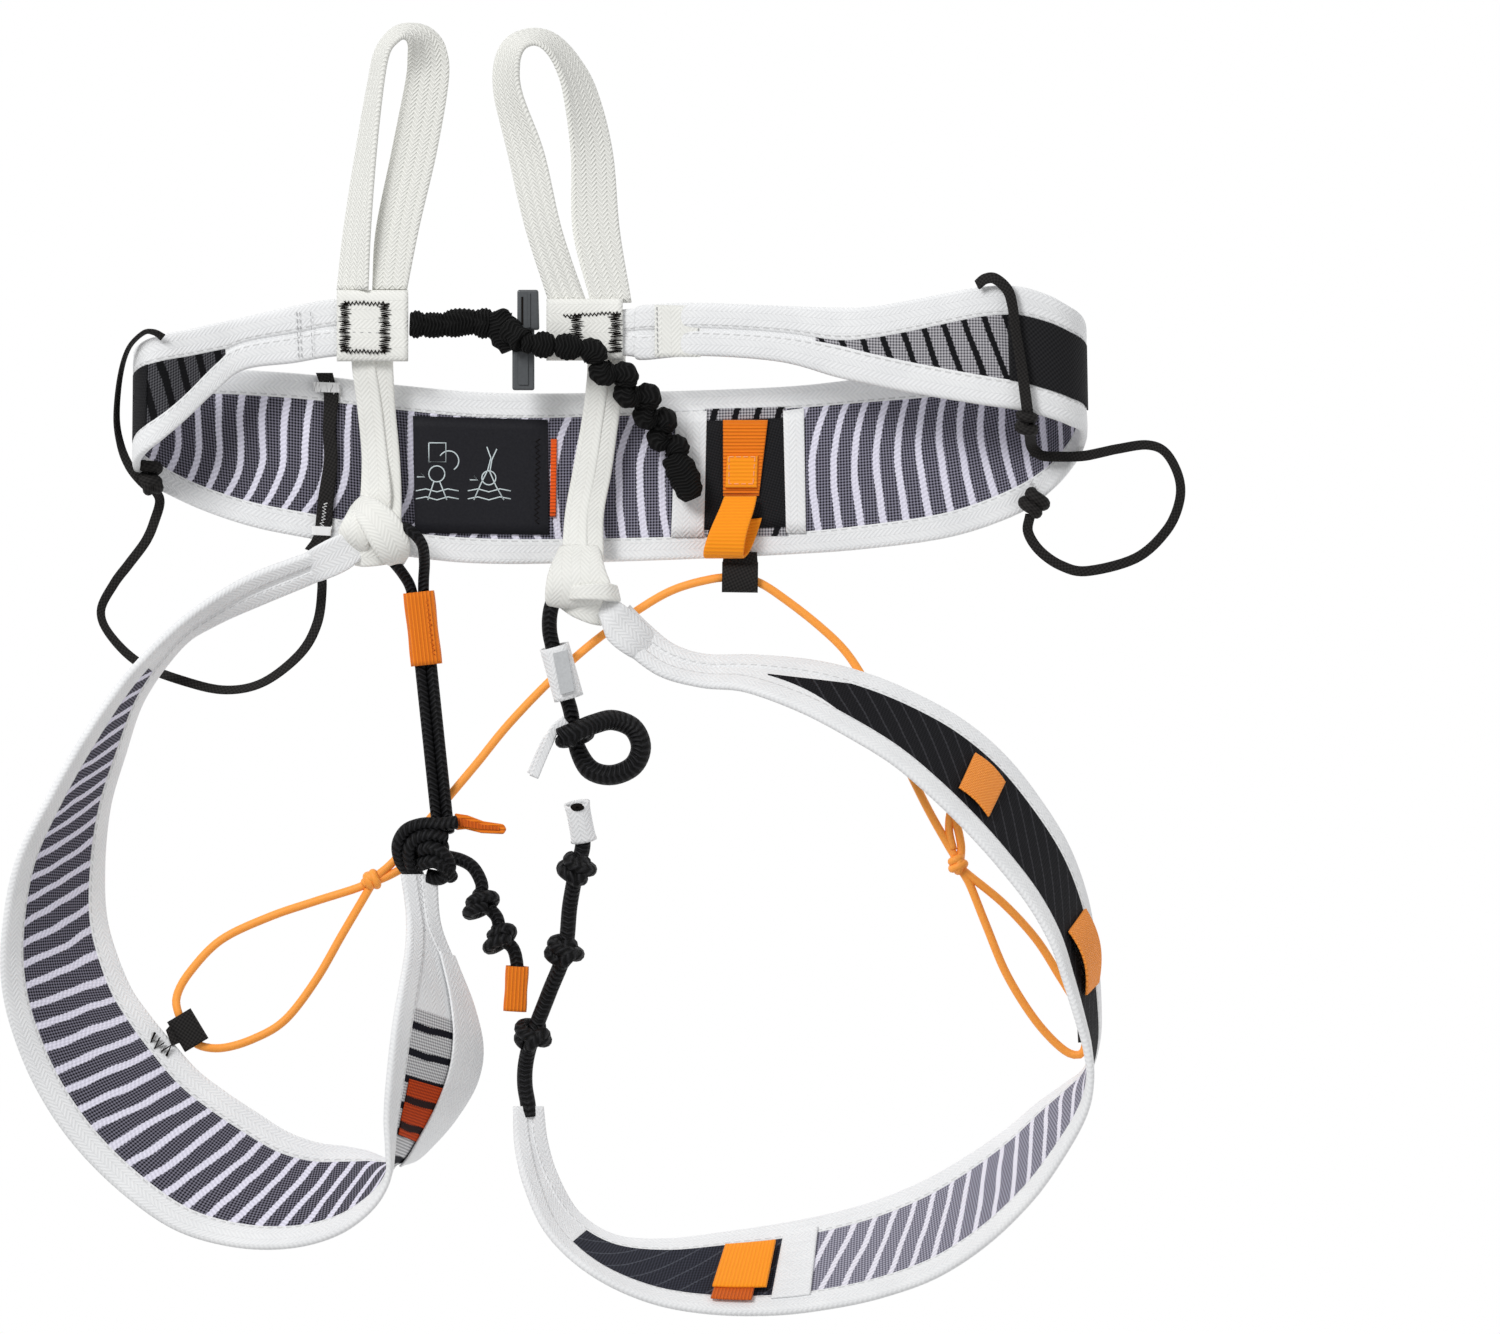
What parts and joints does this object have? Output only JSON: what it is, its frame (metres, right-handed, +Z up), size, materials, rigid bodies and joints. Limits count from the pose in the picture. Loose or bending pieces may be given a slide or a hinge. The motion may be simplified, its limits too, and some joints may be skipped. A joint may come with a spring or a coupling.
{
  "type": "climbing harness",
  "caption": "Ultralight climbing harness lying flat: mesh waist belt, two tie-in loops, two adjustable leg loops, gear loops and elastic rear risers.",
  "frame": {"origin": "centre of the footprint of the laid-out harness, on the surface it lies on", "axes": "+Y from the leg loops towards the tie-in loops, +X to the side of the right-hand gear loop, +Z up from the surface"},
  "size_m": [0.3792, 0.4136, 0.0451],
  "materials": {
    "tape_white": "woven or braided textile, matt",
    "webbing_cream": "woven or braided textile, matt",
    "mesh_inner": "woven or braided textile, matt",
    "mesh_outer": "woven or braided textile, matt",
    "black_fabric": "woven or braided textile, matt",
    "black_webbing": "woven or braided textile, matt",
    "orange_webbing": "woven or braided textile, matt",
    "orange_elastic": "woven or braided textile, matt",
    "black_cord": "woven or braided textile, matt",
    "toggle_plastic": "moulded, matt",
    "label": "woven or braided textile, matt"
  },
  "bodies": {
    "belt": {"belt_tape_top": "tape_white", "belt_tape_bottom": "tape_white", "belt_skin_inner": "mesh_inner", "belt_skin_outer": "mesh_outer", "belt_panel_right": "black_fabric", "belt_sleeve_left": "webbing_cream", "belt_sleeve_right": "webbing_cream", "label_patch": "label", "label_strip": "orange_webbing", "rear_cross_tape_left": "tape_white", "rear_cross_tape_right": "tape_white", "rear_panel": "black_fabric", "rear_tab_base": "orange_webbing", "rear_keeper": "black_webbing", "gear_strap_left": "black_webbing", "riser_left": "webbing_cream", "riser_right": "webbing_cream", "riser_knot_left": "webbing_cream", "riser_knot_right": "webbing_cream", "waist_lace": "black_cord", "toggle": "toggle_plastic", "gear_strand_left": "black_webbing", "gear_strand_right": "black_webbing", "elastic_left": "orange_elastic", "elastic_main": "orange_elastic", "elastic_right": "orange_elastic"},
    "tie_in_left": {"tie_in_loop_left": "webbing_cream"},
    "tie_in_right": {"tie_in_loop_right": "webbing_cream"},
    "gear_left": {"gear_loop_left": "black_webbing"},
    "gear_right": {"gear_loop_right": "black_webbing"},
    "rear_flap": {"rear_tab_loop": "orange_webbing"},
    "lace_end": {"lace_tail": "black_cord"},
    "leg_left": {"leg_left_tape_far": "tape_white", "leg_left_tape_near": "tape_white", "leg_left_skin_inner": "mesh_inner", "leg_left_skin_outer": "mesh_outer", "leg_left_tab": "orange_webbing", "leg_left_keeper": "black_webbing", "closing_cord_left_a": "black_cord", "closing_cord_left_b": "black_cord", "hitch_left": "black_cord", "pull_tab_left": "orange_webbing"},
    "sleeve_left": {"closing_sleeve_left": "orange_webbing"},
    "tail_left": {"tail_cord_left": "black_cord", "tail_sleeve_left": "orange_webbing"},
    "leg_right": {"leg_right_tape_far": "tape_white", "leg_right_tape_near": "tape_white", "leg_right_skin_inner": "mesh_inner", "leg_right_skin_outer": "black_fabric", "leg_right_elastic_loop_a": "orange_elastic", "leg_right_elastic_loop_b": "orange_elastic", "leg_right_cross_tape": "tape_white", "leg_right_tab": "orange_webbing", "leg_right_keeper": "black_webbing"},
    "closure_right": {"closing_cord_right": "black_cord", "pull_tab_right": "tape_white"},
    "sleeve_right": {"closing_sleeve_right": "tape_white"},
    "knotted_right": {"knotted_cord_right": "black_cord", "cord_end_sleeve_right": "tape_white"}
  },
  "joints": [
    {"name": "tie_in_left_fold", "type": "hinge", "parent": "belt", "child": "tie_in_left", "pos_m": [-0.07081, 0.11985, 0.02302], "axis": [1, 0, 0], "range_deg": [0, 120]},
    {"name": "tie_in_right_fold", "type": "hinge", "parent": "belt", "child": "tie_in_right", "pos_m": [-0.00201, 0.11617, 0.01982], "axis": [1, 0, 0], "range_deg": [0, 100]},
    {"name": "gear_loop_left_swing", "type": "hinge", "parent": "belt", "child": "gear_left", "pos_m": [-0.13961, 0.05569, 0.00122], "axis": [-0.9456, 0.3253, 0], "range_deg": [0, 4]},
    {"name": "gear_loop_right_swing", "type": "hinge", "parent": "belt", "child": "gear_right", "pos_m": [0.13623, 0.05377, 0.00682], "axis": [0, -1, 0], "range_deg": [0, 110]},
    {"name": "rear_loop_flip", "type": "hinge", "parent": "belt", "child": "rear_flap", "pos_m": [0.04663, 0.05521, 0.00502], "axis": [-1, 0, 0], "range_deg": [0, 110]},
    {"name": "lace_tail_lift", "type": "hinge", "parent": "belt", "child": "lace_end", "pos_m": [-0.02057, 0.10337, 0.02702], "axis": [-0.678, -0.735, 0], "range_deg": [0, 60]},
    {"name": "leg_left_swing", "type": "hinge", "parent": "belt", "child": "leg_left", "pos_m": [-0.06921, 0.04353, 0.01182], "axis": [-1, 0, 0], "range_deg": [0, 70], "deforming": ["elastic_left", "elastic_main"]},
    {"name": "closing_sleeve_left_slide", "type": "slide", "parent": "leg_left", "child": "sleeve_left", "axis": [0.1196, -0.9928, 0], "range_m": [0, 0.04]},
    {"name": "tail_left_lift", "type": "hinge", "parent": "leg_left", "child": "tail_left", "pos_m": [-0.04297, -0.06079, 0.00682], "axis": [-0.891, -0.454, 0], "range_deg": [0, 80]},
    {"name": "leg_right_swing", "type": "hinge", "parent": "belt", "child": "leg_right", "pos_m": [-0.00361, 0.02529, 0.01182], "axis": [-1, 0, 0], "range_deg": [0, 70], "deforming": ["elastic_right"]},
    {"name": "closing_cord_right_lift", "type": "hinge", "parent": "belt", "child": "closure_right", "pos_m": [-0.01305, 0.02529, 0.01182], "axis": [-1, 0, 0], "range_deg": [0, 80]},
    {"name": "closing_sleeve_right_slide", "type": "slide", "parent": "closure_right", "child": "sleeve_right", "axis": [0.2695, -0.9596, -0.0809], "range_m": [0, 0.005]},
    {"name": "knotted_cord_right_lift", "type": "hinge", "parent": "leg_right", "child": "knotted_right", "pos_m": [-0.02153, -0.13919, 0.00542], "axis": [1, 0, 0], "range_deg": [0, 40]}
  ]
}
